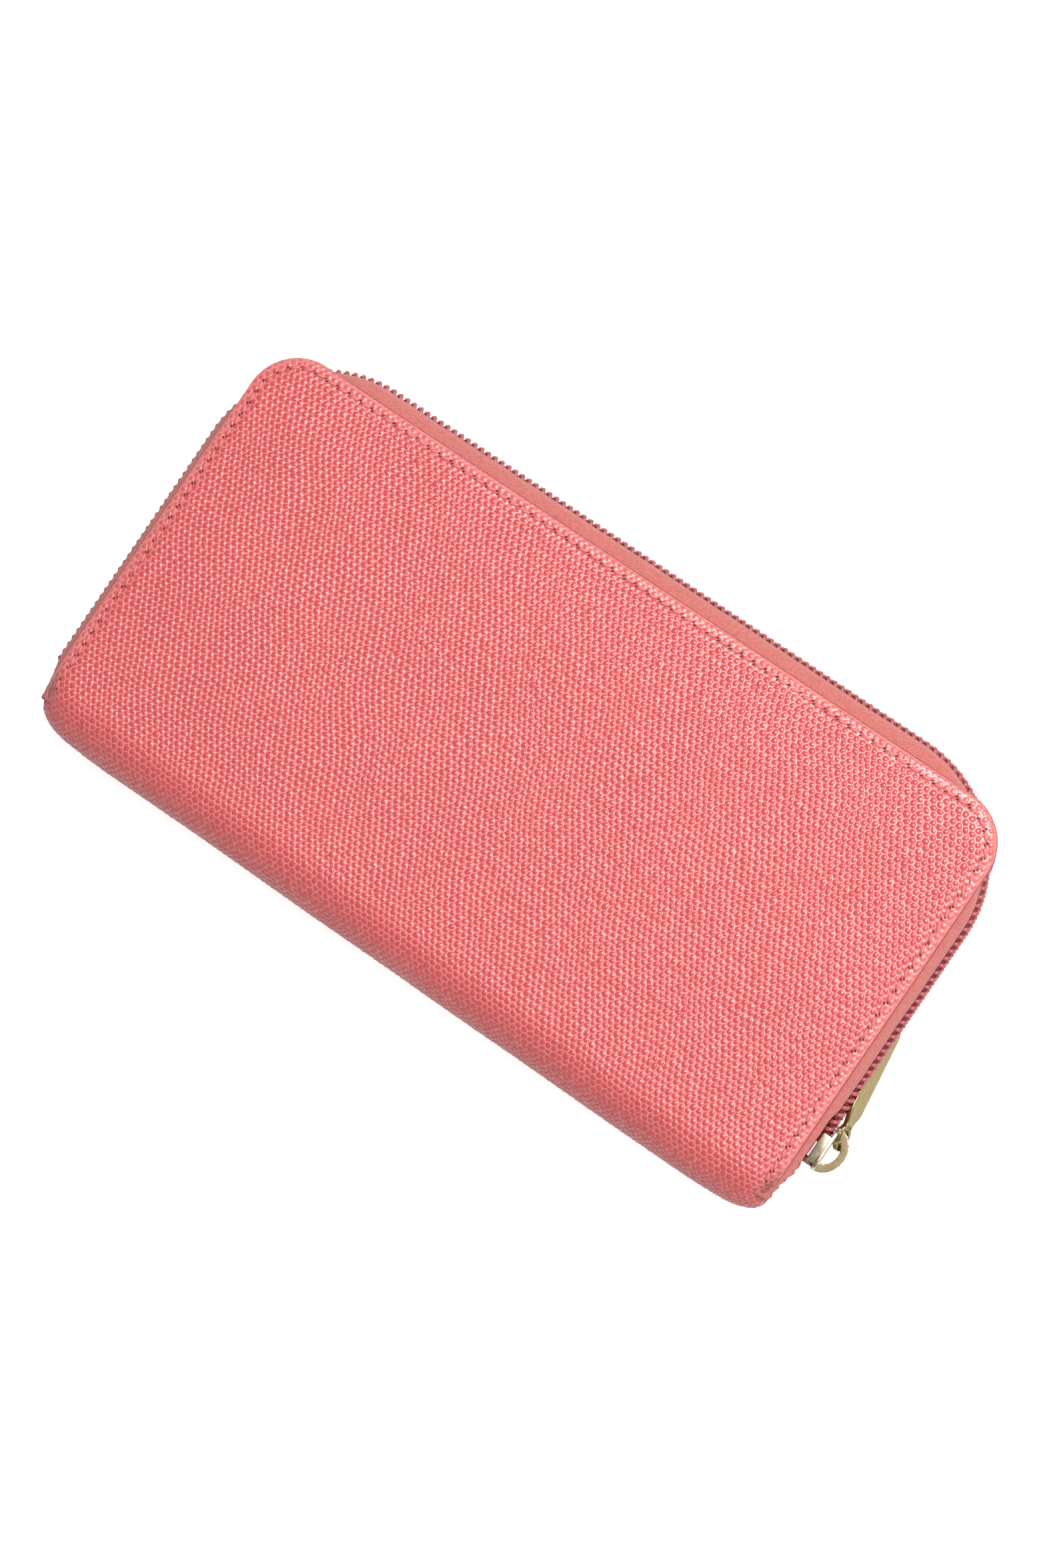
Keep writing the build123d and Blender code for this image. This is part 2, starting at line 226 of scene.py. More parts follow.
def pebbled_leather():
    material, tree, shader, place = new_material("coral pebbled calf leather")
    height = add_node(tree, "ShaderNodeAttribute", {"attribute_name": "grain"})
    ramp = add_node(tree, "ShaderNodeValToRGB", _0=height.outputs["Fac"])
    ramp.color_ramp.elements[0].color = colour("#EA8E8A")
    ramp.color_ramp.elements[0].position = 0.05
    ramp.color_ramp.elements[1].color = colour("#D05254")
    ramp.color_ramp.elements[1].position = 0.6
    cloud = add_node(tree, "ShaderNodeTexNoise", {"Scale": 0.05, "Detail": 3.0}, Vector=place)
    clouds = {"To Min": 0.93, "To Max": 1.07}
    shade = add_node(tree, "ShaderNodeMapRange", clouds, _0=cloud.outputs[0])
    tint = add_node(
        tree, "ShaderNodeVectorMath", {"operation": "SCALE"},
        _0=ramp.outputs[0], Scale=shade.outputs[0],
    )
    rubbed = add_node(tree, "ShaderNodeAttribute", {"attribute_name": "wear"})
    worn = add_node(
        tree, "ShaderNodeMix", {"data_type": "RGBA"},
        Factor=rubbed.outputs["Fac"], _6=tint.outputs[0],
    )
    worn.inputs[7].default_value = colour("#7E4238")
    tree.links.new(worn.outputs[2], shader.inputs["Base Color"])
    pores = add_node(tree, "ShaderNodeTexNoise", {"Scale": 4.0, "Detail": 2.0}, Vector=place)
    polish = {"To Min": 0.20, "To Max": 0.30}
    gloss = add_node(tree, "ShaderNodeMapRange", polish, _0=pores.outputs[0])
    tree.links.new(gloss.outputs[0], shader.inputs["Roughness"])
    bump = add_node(
        tree, "ShaderNodeBump", {"Strength": 0.2, "Distance": 0.00004}, Height=pores.outputs[0]
    )
    tree.links.new(bump.outputs[0], shader.inputs["Normal"])
    shader.inputs["IOR"].default_value = 1.5
    shader.inputs["Coat Weight"].default_value = 0.35
    shader.inputs["Coat Roughness"].default_value = 0.12
    return material


leather_grain = pebbled_leather()

# %% [markdown]
# The other leathers and cloths are simpler. A cut edge is painted with several coats of resin,
# brown under the coral, and rubbed smooth; its colour is also made darker than the paint, as
# painted shade for the shadow where the leather's edge meets the zip tape. The inside is lined with
# smooth coral leather.
# Thread, tape and coil are polyester and nylon, dyed to match. Each needle hole is a small dark
# blob whose colour is painted shade in the hole.
# %% Smooth leather, edge paint and painted shade, thread and cloth


def plain_material(name, base, dark, scale, roughness, bump_mm, ior=1.5):
    """A finish with a fine noise in colour and relief, whose scale is in grains per millimetre."""
    material, tree, shader, place = new_material(name)
    grain = add_node(tree, "ShaderNodeTexNoise", {"Scale": scale, "Detail": 4.0}, Vector=place)
    mix = add_node(tree, "ShaderNodeMix", {"data_type": "RGBA"}, Factor=grain.outputs[0])
    mix.inputs[6].default_value = colour(dark)
    mix.inputs[7].default_value = colour(base)
    tree.links.new(mix.outputs[2], shader.inputs["Base Color"])
    bump = add_node(
        tree, "ShaderNodeBump", {"Strength": 0.4, "Distance": bump_mm * MM},
        Height=grain.outputs[0],
    )
    tree.links.new(bump.outputs[0], shader.inputs["Normal"])
    shader.inputs["Roughness"].default_value = roughness
    shader.inputs["IOR"].default_value = ior
    return material


def woven_material(name, base, dark, pitch):
    """A plain weave: two crossed sets of rounded threads, pitch millimetres apart."""
    material, tree, shader, place = new_material(name)
    wave = {"wave_type": "BANDS", "Scale": 0.314 / pitch, "Distortion": 0.6, "Detail": 1.0}
    wave["bands_direction"] = "DIAGONAL"
    warp = add_node(tree, "ShaderNodeTexWave", wave, Vector=place)
    turned = add_node(tree, "ShaderNodeVectorMath", {"operation": "MULTIPLY"}, _0=place)
    turned.inputs[1].default_value = (-1, 1, 1)
    weft = add_node(tree, "ShaderNodeTexWave", wave, Vector=turned.outputs[0])
    cross = add_node(
        tree, "ShaderNodeMath", {"operation": "MULTIPLY"}, _0=warp.outputs[1], _1=weft.outputs[1]
    )
    mix = add_node(tree, "ShaderNodeMix", {"data_type": "RGBA"}, Factor=cross.outputs[0])
    mix.inputs[6].default_value = colour(dark)
    mix.inputs[7].default_value = colour(base)
    tree.links.new(mix.outputs[2], shader.inputs["Base Color"])
    bump = add_node(
        tree, "ShaderNodeBump", {"Strength": 0.6, "Distance": 0.1 * MM}, Height=cross.outputs[0]
    )
    tree.links.new(bump.outputs[0], shader.inputs["Normal"])
    shader.inputs["Roughness"].default_value = 0.75
    shader.inputs["Sheen Weight"].default_value = 0.2
    return material


def tape_material():
    """Fine polyester weave, laid out along and across the tape in millimetres."""
    material, tree, shader, place = new_material("woven polyester zip tape")
    threads = []
    for name, pitch in (("along", 0.62), ("across", 0.48)):
        run = add_node(tree, "ShaderNodeAttribute", {"attribute_name": name})
        turns = {"operation": "MULTIPLY", 1: 2 * math.pi / pitch}
        phase = add_node(tree, "ShaderNodeMath", turns, _0=run.outputs["Fac"])
        wave = add_node(tree, "ShaderNodeMath", {"operation": "SINE"}, _0=phase.outputs[0])
        threads.append(wave.outputs[0])
    crossed = {"operation": "MULTIPLY_ADD", 2: 0.5}
    weave = add_node(tree, "ShaderNodeMath", crossed, _0=threads[0], _1=threads[1])
    fuzz = add_node(tree, "ShaderNodeTexNoise", {"Scale": 1.3, "Detail": 3.0}, Vector=place)
    blend = {"operation": "MULTIPLY_ADD", 1: 0.45}
    shade = add_node(tree, "ShaderNodeMath", blend, _0=weave.outputs[0], _2=fuzz.outputs[0])
    mix = add_node(tree, "ShaderNodeMix", {"data_type": "RGBA"}, Factor=shade.outputs[0])
    mix.inputs[6].default_value = colour("#A24A46")
    mix.inputs[7].default_value = colour("#E08078")
    tree.links.new(mix.outputs[2], shader.inputs["Base Color"])
    relief = {"Strength": 0.7, "Distance": 0.1 * MM}
    bump = add_node(tree, "ShaderNodeBump", relief, Height=weave.outputs[0])
    tree.links.new(bump.outputs[0], shader.inputs["Normal"])
    shader.inputs["Roughness"].default_value = 0.7
    shader.inputs["Sheen Weight"].default_value = 0.2
    return material


# The edge's colour is the brown edge paint, darkened further as painted shade for the shadow line
# along the zip tape.
edge_paint_and_shade = plain_material("painted leather edge with painted shade", "#A94E49", "#8C3F3B", 1.5, 0.4, 0.05)
flesh_side = plain_material("leather flesh side", "#B98377", "#A06B60", 2.0, 0.85, 0.1)
inner_leather = plain_material("smooth coral lining leather", "#CF6B66", "#C05A56", 1.2, 0.45, 0.08)
sewing_thread = plain_material("coral polyester thread", "#E98C88", "#CC625F", 4.0, 0.4, 0.1)
# Needle holes: the dark red is painted shade inside each hole.
needle_hole_shade = plain_material("needle hole", "#8E3234", "#6C2628", 2.0, 0.9, 0.05)
zip_tape_cloth = tape_material()
coil_nylon = plain_material("dyed nylon coil", "#C4686A", "#A65356", 0.6, 0.25, 0.03, ior=1.53)
lining_cloth = woven_material("coral twill lining", "#C97F78", "#A9615A", 0.5)
grey_board = plain_material("grey board", "#9A8B7A", "#857766", 1.0, 0.9, 0.1)

# %% [markdown]
# The slider and pullers are die-cast zinc, plated in a pale antique gold. The tumbled faces are
# polished, and the sides keep a fine pitted skin with a browner tone.
# %% Plated zinc


def plated_zinc(name, base, dark, roughness_low, roughness_high, pits):
    material, tree, shader, place = new_material(name)
    wear = add_node(tree, "ShaderNodeTexNoise", {"Scale": 0.7, "Detail": 5.0}, Vector=place)
    mix = add_node(tree, "ShaderNodeMix", {"data_type": "RGBA"}, Factor=wear.outputs[0])
    mix.inputs[6].default_value = colour(dark)
    mix.inputs[7].default_value = colour(base)
    tree.links.new(mix.outputs[2], shader.inputs["Base Color"])
    gloss = add_node(
        tree, "ShaderNodeMapRange", {"To Min": roughness_low, "To Max": roughness_high},
        _0=wear.outputs[0],
    )
    tree.links.new(gloss.outputs[0], shader.inputs["Roughness"])
    grit = add_node(tree, "ShaderNodeTexNoise", {"Scale": 5.0, "Detail": 3.0}, Vector=place)
    bump = add_node(
        tree, "ShaderNodeBump", {"Strength": pits, "Distance": 0.05 * MM}, Height=grit.outputs[0]
    )
    tree.links.new(bump.outputs[0], shader.inputs["Normal"])
    shader.inputs["Metallic"].default_value = 1.0
    return material


polished_gold = plated_zinc("polished antique gold plate", "#E8DFC6", "#BDAE88", 0.16, 0.30, 0.1)
matte_gold = plated_zinc("pitted antique gold plate", "#A99878", "#75634A", 0.38, 0.55, 0.6)
aged_gold = plated_zinc("aged antique gold plate", "#BFAE7C", "#8D7C4E", 0.22, 0.38, 0.3)

# %% [markdown]
# ## The outer leather
# The leather is worked flat, as it is at the bench: u runs along the spine, v across it, with
# v = 0 on the middle of the spine, and the third number is the height over the leather. One
# six-sided pebble is raised from a circle by an inset and a poke. It is copied to a row, the row
# is copied to a sheet, and noise pushes the corners about until no two pebbles are alike. Then
# the sheet is cut to the cover's outline, given an edge and an underside, and wrapped round the
# spine. The front and back are the two halves of the same sheet, met at the middle of the spine.
# %% Sizes of the grain
PEBBLE = 1.52
PEBBLE_HEIGHT = 0.35
STITCH_INSET = 2.2
CORNER_CUTS = 9
ROLL = 1.2
SPINE_END_ROLL = 3.2
# The noise that pushes the pebbles about starts from this number, so every run is the same.
noise.seed_set(1)


def edge_distance(u, v):
    """How far a point on the flat leather is inside the edge on the three zip sides."""
    across, along = abs(u) - (HALF_LENGTH - CORNER), abs(v) - (EDGE_V - CORNER)
    if across > 0 and along > 0:
        return CORNER - math.hypot(across, along)
    return CORNER - max(across, along)


def outwards(u, v):
    """Direction from a point near the edge out over the edge."""
    across, along = abs(u) - (HALF_LENGTH - CORNER), abs(v) - (EDGE_V - CORNER)
    if across > 0 and along > 0:
        away = Vector((across, along)).normalized()
    else:
        away = Vector((1, 0)) if across > along else Vector((0, 1))
    return Vector((math.copysign(away.x, u), math.copysign(away.y, v), 0))


def leather_level(u, v):
    """Height of the leather's valleys: pressed down at the seam, rolled off at the edge."""
    distance = edge_distance(u, v)
    pressed = 0.25 * math.exp(-(((distance - STITCH_INSET) / 0.9) ** 2)) * smoothstep(6, 12, abs(v))
    at_spine = 1 - smoothstep(QUARTER * 0.6, QUARTER + 8, abs(v))
    steep = min(max(1 - distance / (5 + 4 * at_spine), 0), 1) * 0.97
    rolled = (ROLL + SPINE_END_ROLL * at_spine) * (1 - math.sqrt(1 - steep * steep))
    pillow = 0.8 * (1 - smoothstep(0, 20, distance))
    soft = 0.18 * noise.noise(Vector((u * 0.03, v * 0.03, 5.0)))
    return soft - pressed - rolled - pillow


def wrap(u, v, height):
    """Place on the wallet of a point on the flat leather."""
    angle = v / SPINE_RADIUS
    if abs(v) < QUARTER:
        reach = SPINE_RADIUS + height
        return Vector((u, SPINE_Y - reach * math.cos(angle), MIDDLE + reach * math.sin(angle)))
    side = math.copysign(1, v)
    return Vector((u, SPINE_Y + abs(v) - QUARTER, MIDDLE + side * (SPINE_RADIUS + height)))


# %% Raise the pebbles


def pebble_sheet(low, high):
    """A flat sheet of pebbles between two values of v, with height 0 to 1 in z."""
    bm = bmesh.new()
    bmesh.ops.create_circle(bm, cap_ends=True, segments=6, radius=PEBBLE / math.sqrt(3))
    top = bm.faces[:]
    bmesh.ops.inset_individual(bm, faces=top, thickness=PEBBLE * 0.17)
    bmesh.ops.translate(bm, verts=top[0].verts[:], vec=(0, 0, 0.66))
    peak = bmesh.ops.poke(bm, faces=top)["verts"]
    bmesh.ops.translate(bm, verts=peak, vec=(0, 0, 0.34))
    row = PEBBLE * 1.5 / math.sqrt(3)
    columns = 2 * math.ceil(HALF_LENGTH / PEBBLE) + 3
    repeat(bm, (PEBBLE, 0, 0), columns)
    bmesh.ops.remove_doubles(bm, verts=bm.verts, dist=0.05)
    repeat(bm, (PEBBLE / 2, row, 0), 2)
    repeat(bm, (0, 2 * row, 0), math.ceil((high - low) / row / 2) + 2)
    bmesh.ops.remove_doubles(bm, verts=bm.verts, dist=0.05)
    start = Vector((-PEBBLE * columns / 2, low - 2 * row, 0))
    for vert in bm.verts:
        vert.co += start
        spot = Vector((vert.co.x * 0.55, vert.co.y * 0.55, 0))
        push = noise.noise_vector(spot * 1.6) * 0.4 + noise.noise_vector(spot * 0.12) * 1.1
        vert.co.x += push.x
        vert.co.y += push.y
        vert.co.z *= 0.9 + 0.3 * noise.noise(spot * 1.3 + Vector((0, 0, 9)))
    return bm


# %% Cut the sheet to the cover's outline


def gather(faces):
    """Faces with their edges and corners."""
    edges = dict.fromkeys(edge for face in faces for edge in face.edges)
    verts = dict.fromkeys(vert for face in faces for vert in face.verts)
    return faces + list(edges) + list(verts)


def cut(bm, geometry, place, direction, clear=True):
    """Cuts along a plane, clears what lies beyond it, and returns what is left."""
    return bmesh.ops.bisect_plane(
        bm, geom=[part for part in geometry if part.is_valid], plane_co=place,
        plane_no=direction, clear_outer=clear, dist=0.0001,
    )["geom"]


def cut_outline(bm, side):
    """Trims a sheet to one half of the leather, with its two rounded corners."""
    for sign in (-1, 1):
        beyond = [face for face in bm.faces if face.verts[0].co.x * sign > HALF_LENGTH - 6]
        cut(bm, gather(beyond), (sign * HALF_LENGTH, 0, 0), (sign, 0, 0))
    beyond = [face for face in bm.faces if face.verts[0].co.y * side > EDGE_V - 6]
    cut(bm, gather(beyond), (0, side * EDGE_V, 0), (0, side, 0))
    beyond = [face for face in bm.faces if face.verts[0].co.y * side < 6]
    cut(bm, gather(beyond), (0, 0, 0), (0, -side, 0))
    for sign in (-1, 1):
        centre = Vector((sign * (HALF_LENGTH - CORNER), side * (EDGE_V - CORNER), 0))
        near = []
        for face in bm.faces:
            offset = face.verts[0].co - centre
            if offset.x * sign > -3 and offset.y * side > -3:
                near.append(face)
        near = gather(near)
        for step in range(CORNER_CUTS):
            turn = (step + 0.5) / CORNER_CUTS * math.pi / 2
            away = Vector((sign * math.cos(turn), side * math.sin(turn), 0))
            near = cut(bm, near, centre + away * CORNER, away)


# %% Edge, underside and wrap
# Each ring's travel out over the edge, its depth under the surface, and its finish's number.
PAINT_AND_SHADE, FLESH = 1, 2
EDGE_RINGS = (
    (0.12, 0.25, PAINT_AND_SHADE), (0.12, 0.65, PAINT_AND_SHADE), (-0.25, LEATHER, PAINT_AND_SHADE),
    (-1, LEATHER, FLESH), (-2, LEATHER, FLESH), (-4, LEATHER, FLESH),
)


def border_of(bm):
    return [edge for edge in bm.edges if not edge.is_manifold]


def edge_and_underside(bm, side):
    """A narrow rounded edge that hangs from a sheet's border, and the flesh side across it."""
    rim = bm.copy()
    inner = [edge for edge in rim.edges if not edge.is_boundary]
    bmesh.ops.delete(rim, geom=rim.faces[:], context="FACES_ONLY")
    bmesh.ops.delete(rim, geom=inner, context="EDGES")
    bmesh.ops.delete(rim, geom=[vert for vert in rim.verts if not vert.link_edges], context="VERTS")
    lowest = rim.edges[:]
    reach = HALF_LENGTH
    for out, down, finish in EDGE_RINGS:
        ring = bmesh.ops.extrude_edge_only(rim, edges=lowest)["geom"]
        corners = {part for part in ring if isinstance(part, bmesh.types.BMVert)}
        reach += out
        for vert in corners:
            if abs(vert.co.y) > 0.01:
                vert.co += outwards(vert.co.x, vert.co.y) * out
            elif out < -0.5:
                vert.co.x = math.copysign(min(abs(vert.co.x), reach), vert.co.x)
            vert.co.z = leather_level(vert.co.x, vert.co.y) - down
        for part in ring:
            if isinstance(part, bmesh.types.BMFace):
                part.material_index = finish
        lowest = [edge for edge in rim.edges if corners.issuperset(edge.verts)]
    for face in bmesh.ops.contextual_create(rim, geom=lowest)["faces"]:
        face.material_index = FLESH
    flat = gather([face for face in rim.faces if face.material_index == FLESH])
    for step in range(1, 30):
        level = QUARTER * step / 10 if step < 12 else QUARTER * 1.1 + (step - 11) * 4.8
        flat = cut(rim, flat, (0, side * level, 0), (0, 1, 0), clear=False)
    bmesh.ops.remove_doubles(rim, verts=rim.verts, dist=0.0005)
    return rim


def make_skin(name, side, materials, **place):
    """One half of the outer leather: side is 1 for the front and -1 for the back."""
    low, high = sorted((0, side * EDGE_V))
    bm = pebble_sheet(low, high)
    cut_outline(bm, side)
    grain = bm.verts.layers.float.new("grain")
    wear = bm.verts.layers.float.new("wear")
    for vert in bm.verts:
        u, v, height = vert.co
        inside = edge_distance(u, v)
        flat = 1 - 0.35 * (1 - smoothstep(2.2, 4.2, inside)) * smoothstep(8, 14, abs(v))
        flat *= 0.6 + 0.4 * smoothstep(0.1, 0.9, inside)
        vert[grain] = min(max(height, 0), 1) * flat
        corner = math.hypot(HALF_LENGTH - abs(u), (abs(v) - QUARTER * 0.8) * 0.5)
        rough = 1.2 * noise.noise(Vector((u * 0.8, v * 0.8, 2.0)))
        vert[wear] = 0.75 * (1 - smoothstep(0.5, 3.4, corner + rough))
        vert.co.z = leather_level(u, v) + PEBBLE_HEIGHT * height * flat
    join(bm, edge_and_underside(bm, side))
    border = [vert for vert in bm.verts if vert.is_boundary]
    bmesh.ops.remove_doubles(bm, verts=border, dist=0.001)
    for vert in bm.verts:
        vert.co = wrap(*vert.co)
    bmesh.ops.triangulate(bm, faces=[face for face in bm.faces if len(face.verts) > 4])
    bmesh.ops.recalc_face_normals(bm, faces=bm.faces)
    return finish_piece(name, bm, materials, slot="outer_leather", **place)


APEX = (0, SPINE_BACK * MM, MIDDLE * MM)
skin_finishes = [leather_grain, edge_paint_and_shade, flesh_side]
back_bend = ("back_half", "centre", (0, SPINE_Y * MM, 0), APEX)
front_bend = ("centre", "front_half", APEX, (0, SPINE_Y * MM, THICKNESS * MM))
make_skin(
    "front_leather", 1, skin_finishes, body="front_half", blend=front_bend,
    replaces=("front_cover", "spine_bend_front", "spine_cover"),
)
make_skin(
    "back_leather", -1, skin_finishes, body="back_half", blend=back_bend,
    replaces=("back_cover", "spine_bend_back"),
)

# %% [markdown]
# ## Stitching
# One lockstitched row holds leather, zip tape and lining together. Each stitch is a short, fat
# lozenge of thread that leans a little across the line, and it dips into a needle hole at each
# end. Each hole is a small flat blob in dark red, which is painted shade in the hole. It is laid
# out on the flat leather, and wrapped round with it.
# %% Lay the stitches
STITCH_PITCH = 3.1
STITCH_LENGTH = 2.3
SEAM_START = 15.0


def one_stitch():
    """A leaning lozenge of thread along X, with a small dark blob at each end that is painted shade
    in the needle hole.
    """
    bm = bmesh.new()
    lean = Matrix.Rotation(0.2, 4, "Z")
    fat = Matrix.Diagonal((STITCH_LENGTH / 2, 0.4, 0.3, 1))
    thread = Matrix.Translation((0, 0, 0.26)) @ lean @ fat
    bmesh.ops.create_uvsphere(bm, u_segments=10, v_segments=6, radius=1, matrix=thread)
    thread_faces = set(bm.faces)
    # Each end gets a flat blob whose dark red is painted shade inside the needle hole.
    for end in (-1, 1):
        spot = Matrix.Translation((end * (STITCH_LENGTH / 2 + 0.12), end * 0.22, 0.06))
        hole = spot @ Matrix.Rotation(0.6, 4, "Z") @ Matrix.Diagonal((0.55, 0.32, 0.14, 1))
        bmesh.ops.create_uvsphere(bm, u_segments=8, v_segments=4, radius=1, matrix=hole)
    for face in bm.faces:
        face.material_index = 0 if face in thread_faces else 1
    return bm


def make_stitches(name, side, **place):
    half, high = HALF_LENGTH - STITCH_INSET, EDGE_V - STITCH_INSET
    radius = CORNER - STITCH_INSET
    total = outline_length(half, SEAM_START, high, radius)
    count = round(total / STITCH_PITCH)
    bm = one_stitch()
    bmesh.ops.translate(bm, verts=bm.verts, vec=(total / count / 2, 0, 0))
    repeat(bm, (total / count, 0, 0), count)
    for vert in bm.verts:
        s, out, height = vert.co
        u, v, heading = on_outline(s, half, SEAM_START, high, radius)
        spot = (u - out * math.sin(heading), side * (v + out * math.cos(heading)))
        vert.co = wrap(*spot, leather_level(*spot) + height)
    bmesh.ops.recalc_face_normals(bm, faces=bm.faces)
    return finish_piece(name, bm, [sewing_thread, needle_hole_shade], slot="outer_leather", **place)


make_stitches("front_stitching", 1, body="front_half", blend=front_bend)
make_stitches("back_stitching", -1, body="back_half", blend=back_bend)

# %% [markdown]
# ## The zip
# The tape comes out from under the leather, and curves over to the chain, which stands outside
# the covers' straight sides and cuts across their corners. The tape is a grid, whose long way is
# the distance along the zip and whose short way follows a curved profile. Its ends lie in the
# spine, and close in to follow its round.
# %% Zip tape
TAPE_LOW = SPINE_Y - 5.5
TAPE_BEND = 5
TAPE_CUTS = {"x_segments": 480, "y_segments": 44}
TAPE_PROFILE = (
    (-7.0, 9.1), (-4.5, 8.8), (-2.8, 7.95), (-1.2, 7.5), (0.0, 6.9),
    (0.65, 5.8), (0.8, 4.6), (0.65, 3.2), (0.3, 1.9), (0.0, 0.7),
)
RIB_PITCH = 0.95
RIB_HEIGHT = 0.07
PROFILE_LENGTH = 13.4


def on_profile(t, profile):
    """Point at share t along a polyline, eased by Catmull-Rom curves through its points."""
    spans = len(profile) - 1
    n = min(int(t * spans), spans - 1)
    k = t * spans - n
    p = [Vector(profile[min(max(n + i, 0), spans)]) for i in (-1, 0, 1, 2)]
    return 0.5 * (
        2 * p[1] + (p[2] - p[0]) * k + (2 * p[0] - 5 * p[1] + 4 * p[2] - p[3]) * k * k
        + (3 * p[1] - p[0] - 3 * p[2] + p[3]) * k * k * k
    )


def tape_point(s, t, side, total):
    """Place of the tape at s along the zip and at share t of its width from its hem."""
    out, level = on_profile(t, TAPE_PROFILE)
    free = smoothstep(9.0, 7.4, level)
    out += 0.12 * noise.noise(Vector((s * 0.25, level * 0.3, side * 3.0))) * free
    end = min(s, total - s)
    right = s > total / 2
    y = on_chain(s, out, TAPE_LOW)[1]
    at_slider = 1 - smoothstep(5, 9, abs(y - slider_y)) if right else 0
    out -= 0.95 * at_slider * smoothstep(7.4, 4.5, level)
    under_puller = smoothstep(-32, -24, y) * smoothstep(14, 6, y) if right and side < 0 else 0
    out -= 0.6 * under_puller * smoothstep(7.4, 4.5, level) * (1 - at_slider)
    out += RIB_HEIGHT * math.cos(2 * math.pi * t * PROFILE_LENGTH / RIB_PITCH) * free
    tucked = smoothstep(12, 1, end)
    out -= 2.7 * tucked * smoothstep(9.5, 4, level)
    gathered = smoothstep(15, 9, end) * (1.0 if right else 0.3)
    out += 0.24 * gathered * math.sin(s * 5.2 + level * 0.5) * free
    x, y = on_chain(s, out, TAPE_LOW)
    below = max(SPINE_Y - y, 0) / SPINE_RADIUS
    return Vector((x, y, MIDDLE + side * level * math.sqrt(1 - below * below)))


def thicken_cloth(piece, offset):
    shell = piece.modifiers.new("cloth thickness", "SOLIDIFY")
    shell.thickness = 0.4 * MM
    shell.offset = offset


def make_tape(name, side, **place):
    bm = bmesh.new()
    bmesh.ops.create_grid(bm, size=0.5, **TAPE_CUTS)
    along = bm.verts.layers.float.new("along")
    across = bm.verts.layers.float.new("across")
    total = outline_length(CHAIN_X, TAPE_LOW, CHAIN_Y, CHAIN_CORNER)
    for vert in bm.verts:
        s, t = (vert.co.x + 0.5) * total, vert.co.y + 0.5
        vert[along], vert[across] = s, t * PROFILE_LENGTH
        vert.co = tape_point(s, t, side, total)
    bmesh.ops.recalc_face_normals(bm, faces=bm.faces)
    thicken_cloth(finish_piece(name, bm, [zip_tape_cloth], slot="zip_tape", **place), -1)


tape_foot = (0, (SPINE_Y - TAPE_BEND) * MM, MIDDLE * MM)
tape_start = (0, (SPINE_Y + TAPE_BEND) * MM, MIDDLE * MM)
make_tape(
    "front_zip_cloth", 1, body="front_half", replaces=("front_zip_tape",),
    blend=("centre", "front_half", tape_foot, tape_start),
)
make_tape(
    "back_zip_cloth", -1, body="back_half", replaces=("back_zip_tape",),
    blend=("back_half", "centre", tape_start, tape_foot),
)

# %% [markdown]
# Each side of the chain is one nylon thread, wound into a flat spiral and sewn to the tape. A
# circle spun about an axis with a little forward travel in each step makes a straight spiral.
# It is then squeezed flat and bent along the zip's path. The two sides are half a turn apart, so
# their loops pass between each other, as they do on a closed zip.
# %% Zip coils
COIL_PITCH = 1.85
COIL_WIRE = 0.46
COIL_STEPS = 13
COIL_LOW = SPINE_Y + 3.5
COIL_OUT = 1.2
COIL_WIDE = 1.4
COIL_BEHIND_SLIDER = 8.0


def coil_turns(turns, pitch, wire, half_out, half_wide):
    """A straight, flattened spiral along +X. One turn is swept, and then copied in a row."""
    bm = bmesh.new()
    aside = Matrix.Translation((0, 1, 0))
    bmesh.ops.create_circle(bm, cap_ends=False, segments=7, radius=wire, matrix=aside)
    bmesh.ops.scale(bm, vec=(1.2, 1, 1), verts=bm.verts)
    bmesh.ops.spin(
        bm, geom=bm.verts[:] + bm.edges[:], cent=(0, 0, 0), axis=(1, 0, 0),
        dvec=(pitch / COIL_STEPS, 0, 0), angle=2 * math.pi, steps=COIL_STEPS,
    )
    for vert in bm.verts:
        around = math.atan2(vert.co.z, vert.co.y)
        radial = math.hypot(vert.co.y, vert.co.z) - 1
        vert.co.y = math.cos(around) * (half_out - wire + radial)
        vert.co.z = math.sin(around) * (half_wide - wire + radial)
    repeat(bm, (pitch, 0, 0), turns)
    bmesh.ops.remove_doubles(bm, verts=bm.verts, dist=0.01)
    bmesh.ops.holes_fill(bm, edges=border_of(bm), sides=0)
    return bm


def coil_on_path(name, side, start, length, **place):
    bm = coil_turns(round(length / COIL_PITCH), COIL_PITCH, COIL_WIRE, COIL_OUT, COIL_WIDE)
    shift = start + (side < 0) * COIL_PITCH / 2
    for vert in bm.verts:
        s, out, wide = vert.co
        x, y = on_chain(s + shift, out + COIL_OUT, COIL_LOW)
        vert.co = (x, y, MIDDLE + side * (COIL_WIDE - 0.2) + wide)
    bmesh.ops.recalc_face_normals(bm, faces=bm.faces)
    return finish_piece(name, bm, [coil_nylon], slot="zip_coil", **place)


chain_length = outline_length(CHAIN_X, COIL_LOW, CHAIN_Y, CHAIN_CORNER)
coil_run = chain_length - COIL_BEHIND_SLIDER
coil_on_path("front_coil", 1, 0.5, coil_run, body="front_half", replaces=("front_zip_coil",))
coil_on_path("back_coil", -1, 0.5, coil_run, body="back_half", replaces=("back_zip_coil",))

